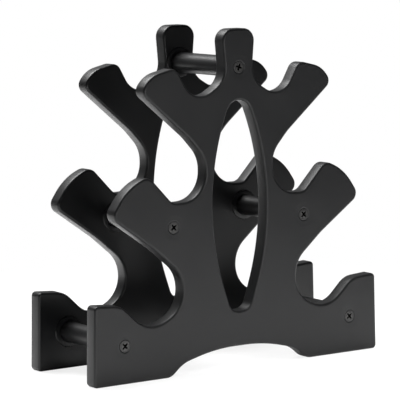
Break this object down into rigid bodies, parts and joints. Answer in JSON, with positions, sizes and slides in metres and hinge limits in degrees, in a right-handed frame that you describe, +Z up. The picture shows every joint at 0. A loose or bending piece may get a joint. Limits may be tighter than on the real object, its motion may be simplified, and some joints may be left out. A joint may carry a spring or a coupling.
{
  "type": "dumbbell rack",
  "caption": "Free-standing tiered rack of tree-shaped moulded side plates joined by cross tubes, with open cradles that hold small dumbbells by their handles.",
  "frame": {"origin": "middle of the footprint, at the height of the foot soles", "axes": "+X across the width of the plates, +Y from the front plate to the back plate, +Z up"},
  "size_m": [0.3198, 0.1106, 0.3123],
  "materials": {
    "plate_plastic": "fine satin moulded texture, near black",
    "tube_coat": "satin black powder coat",
    "plug_nylon": "natural nylon",
    "screw_oxide": "black oxide steel"
  },
  "bodies": {
    "root": {"front_plate": "plate_plastic", "back_plate": "plate_plastic", "cross_tube_top": "tube_coat", "plug_top_front": "plug_nylon", "screw_top_front": "screw_oxide", "plug_top_back": "plug_nylon", "screw_top_back": "screw_oxide", "cross_tube_mid_left": "tube_coat", "plug_mid_left_front": "plug_nylon", "screw_mid_left_front": "screw_oxide", "plug_mid_left_back": "plug_nylon", "screw_mid_left_back": "screw_oxide", "cross_tube_mid_right": "tube_coat", "plug_mid_right_front": "plug_nylon", "screw_mid_right_front": "screw_oxide", "plug_mid_right_back": "plug_nylon", "screw_mid_right_back": "screw_oxide", "cross_tube_foot_left": "tube_coat", "plug_foot_left_front": "plug_nylon", "screw_foot_left_front": "screw_oxide", "plug_foot_left_back": "plug_nylon", "screw_foot_left_back": "screw_oxide", "cross_tube_foot_right": "tube_coat", "plug_foot_right_front": "plug_nylon", "screw_foot_right_front": "screw_oxide", "plug_foot_right_back": "plug_nylon", "screw_foot_right_back": "screw_oxide"}
  },
  "joints": []
}
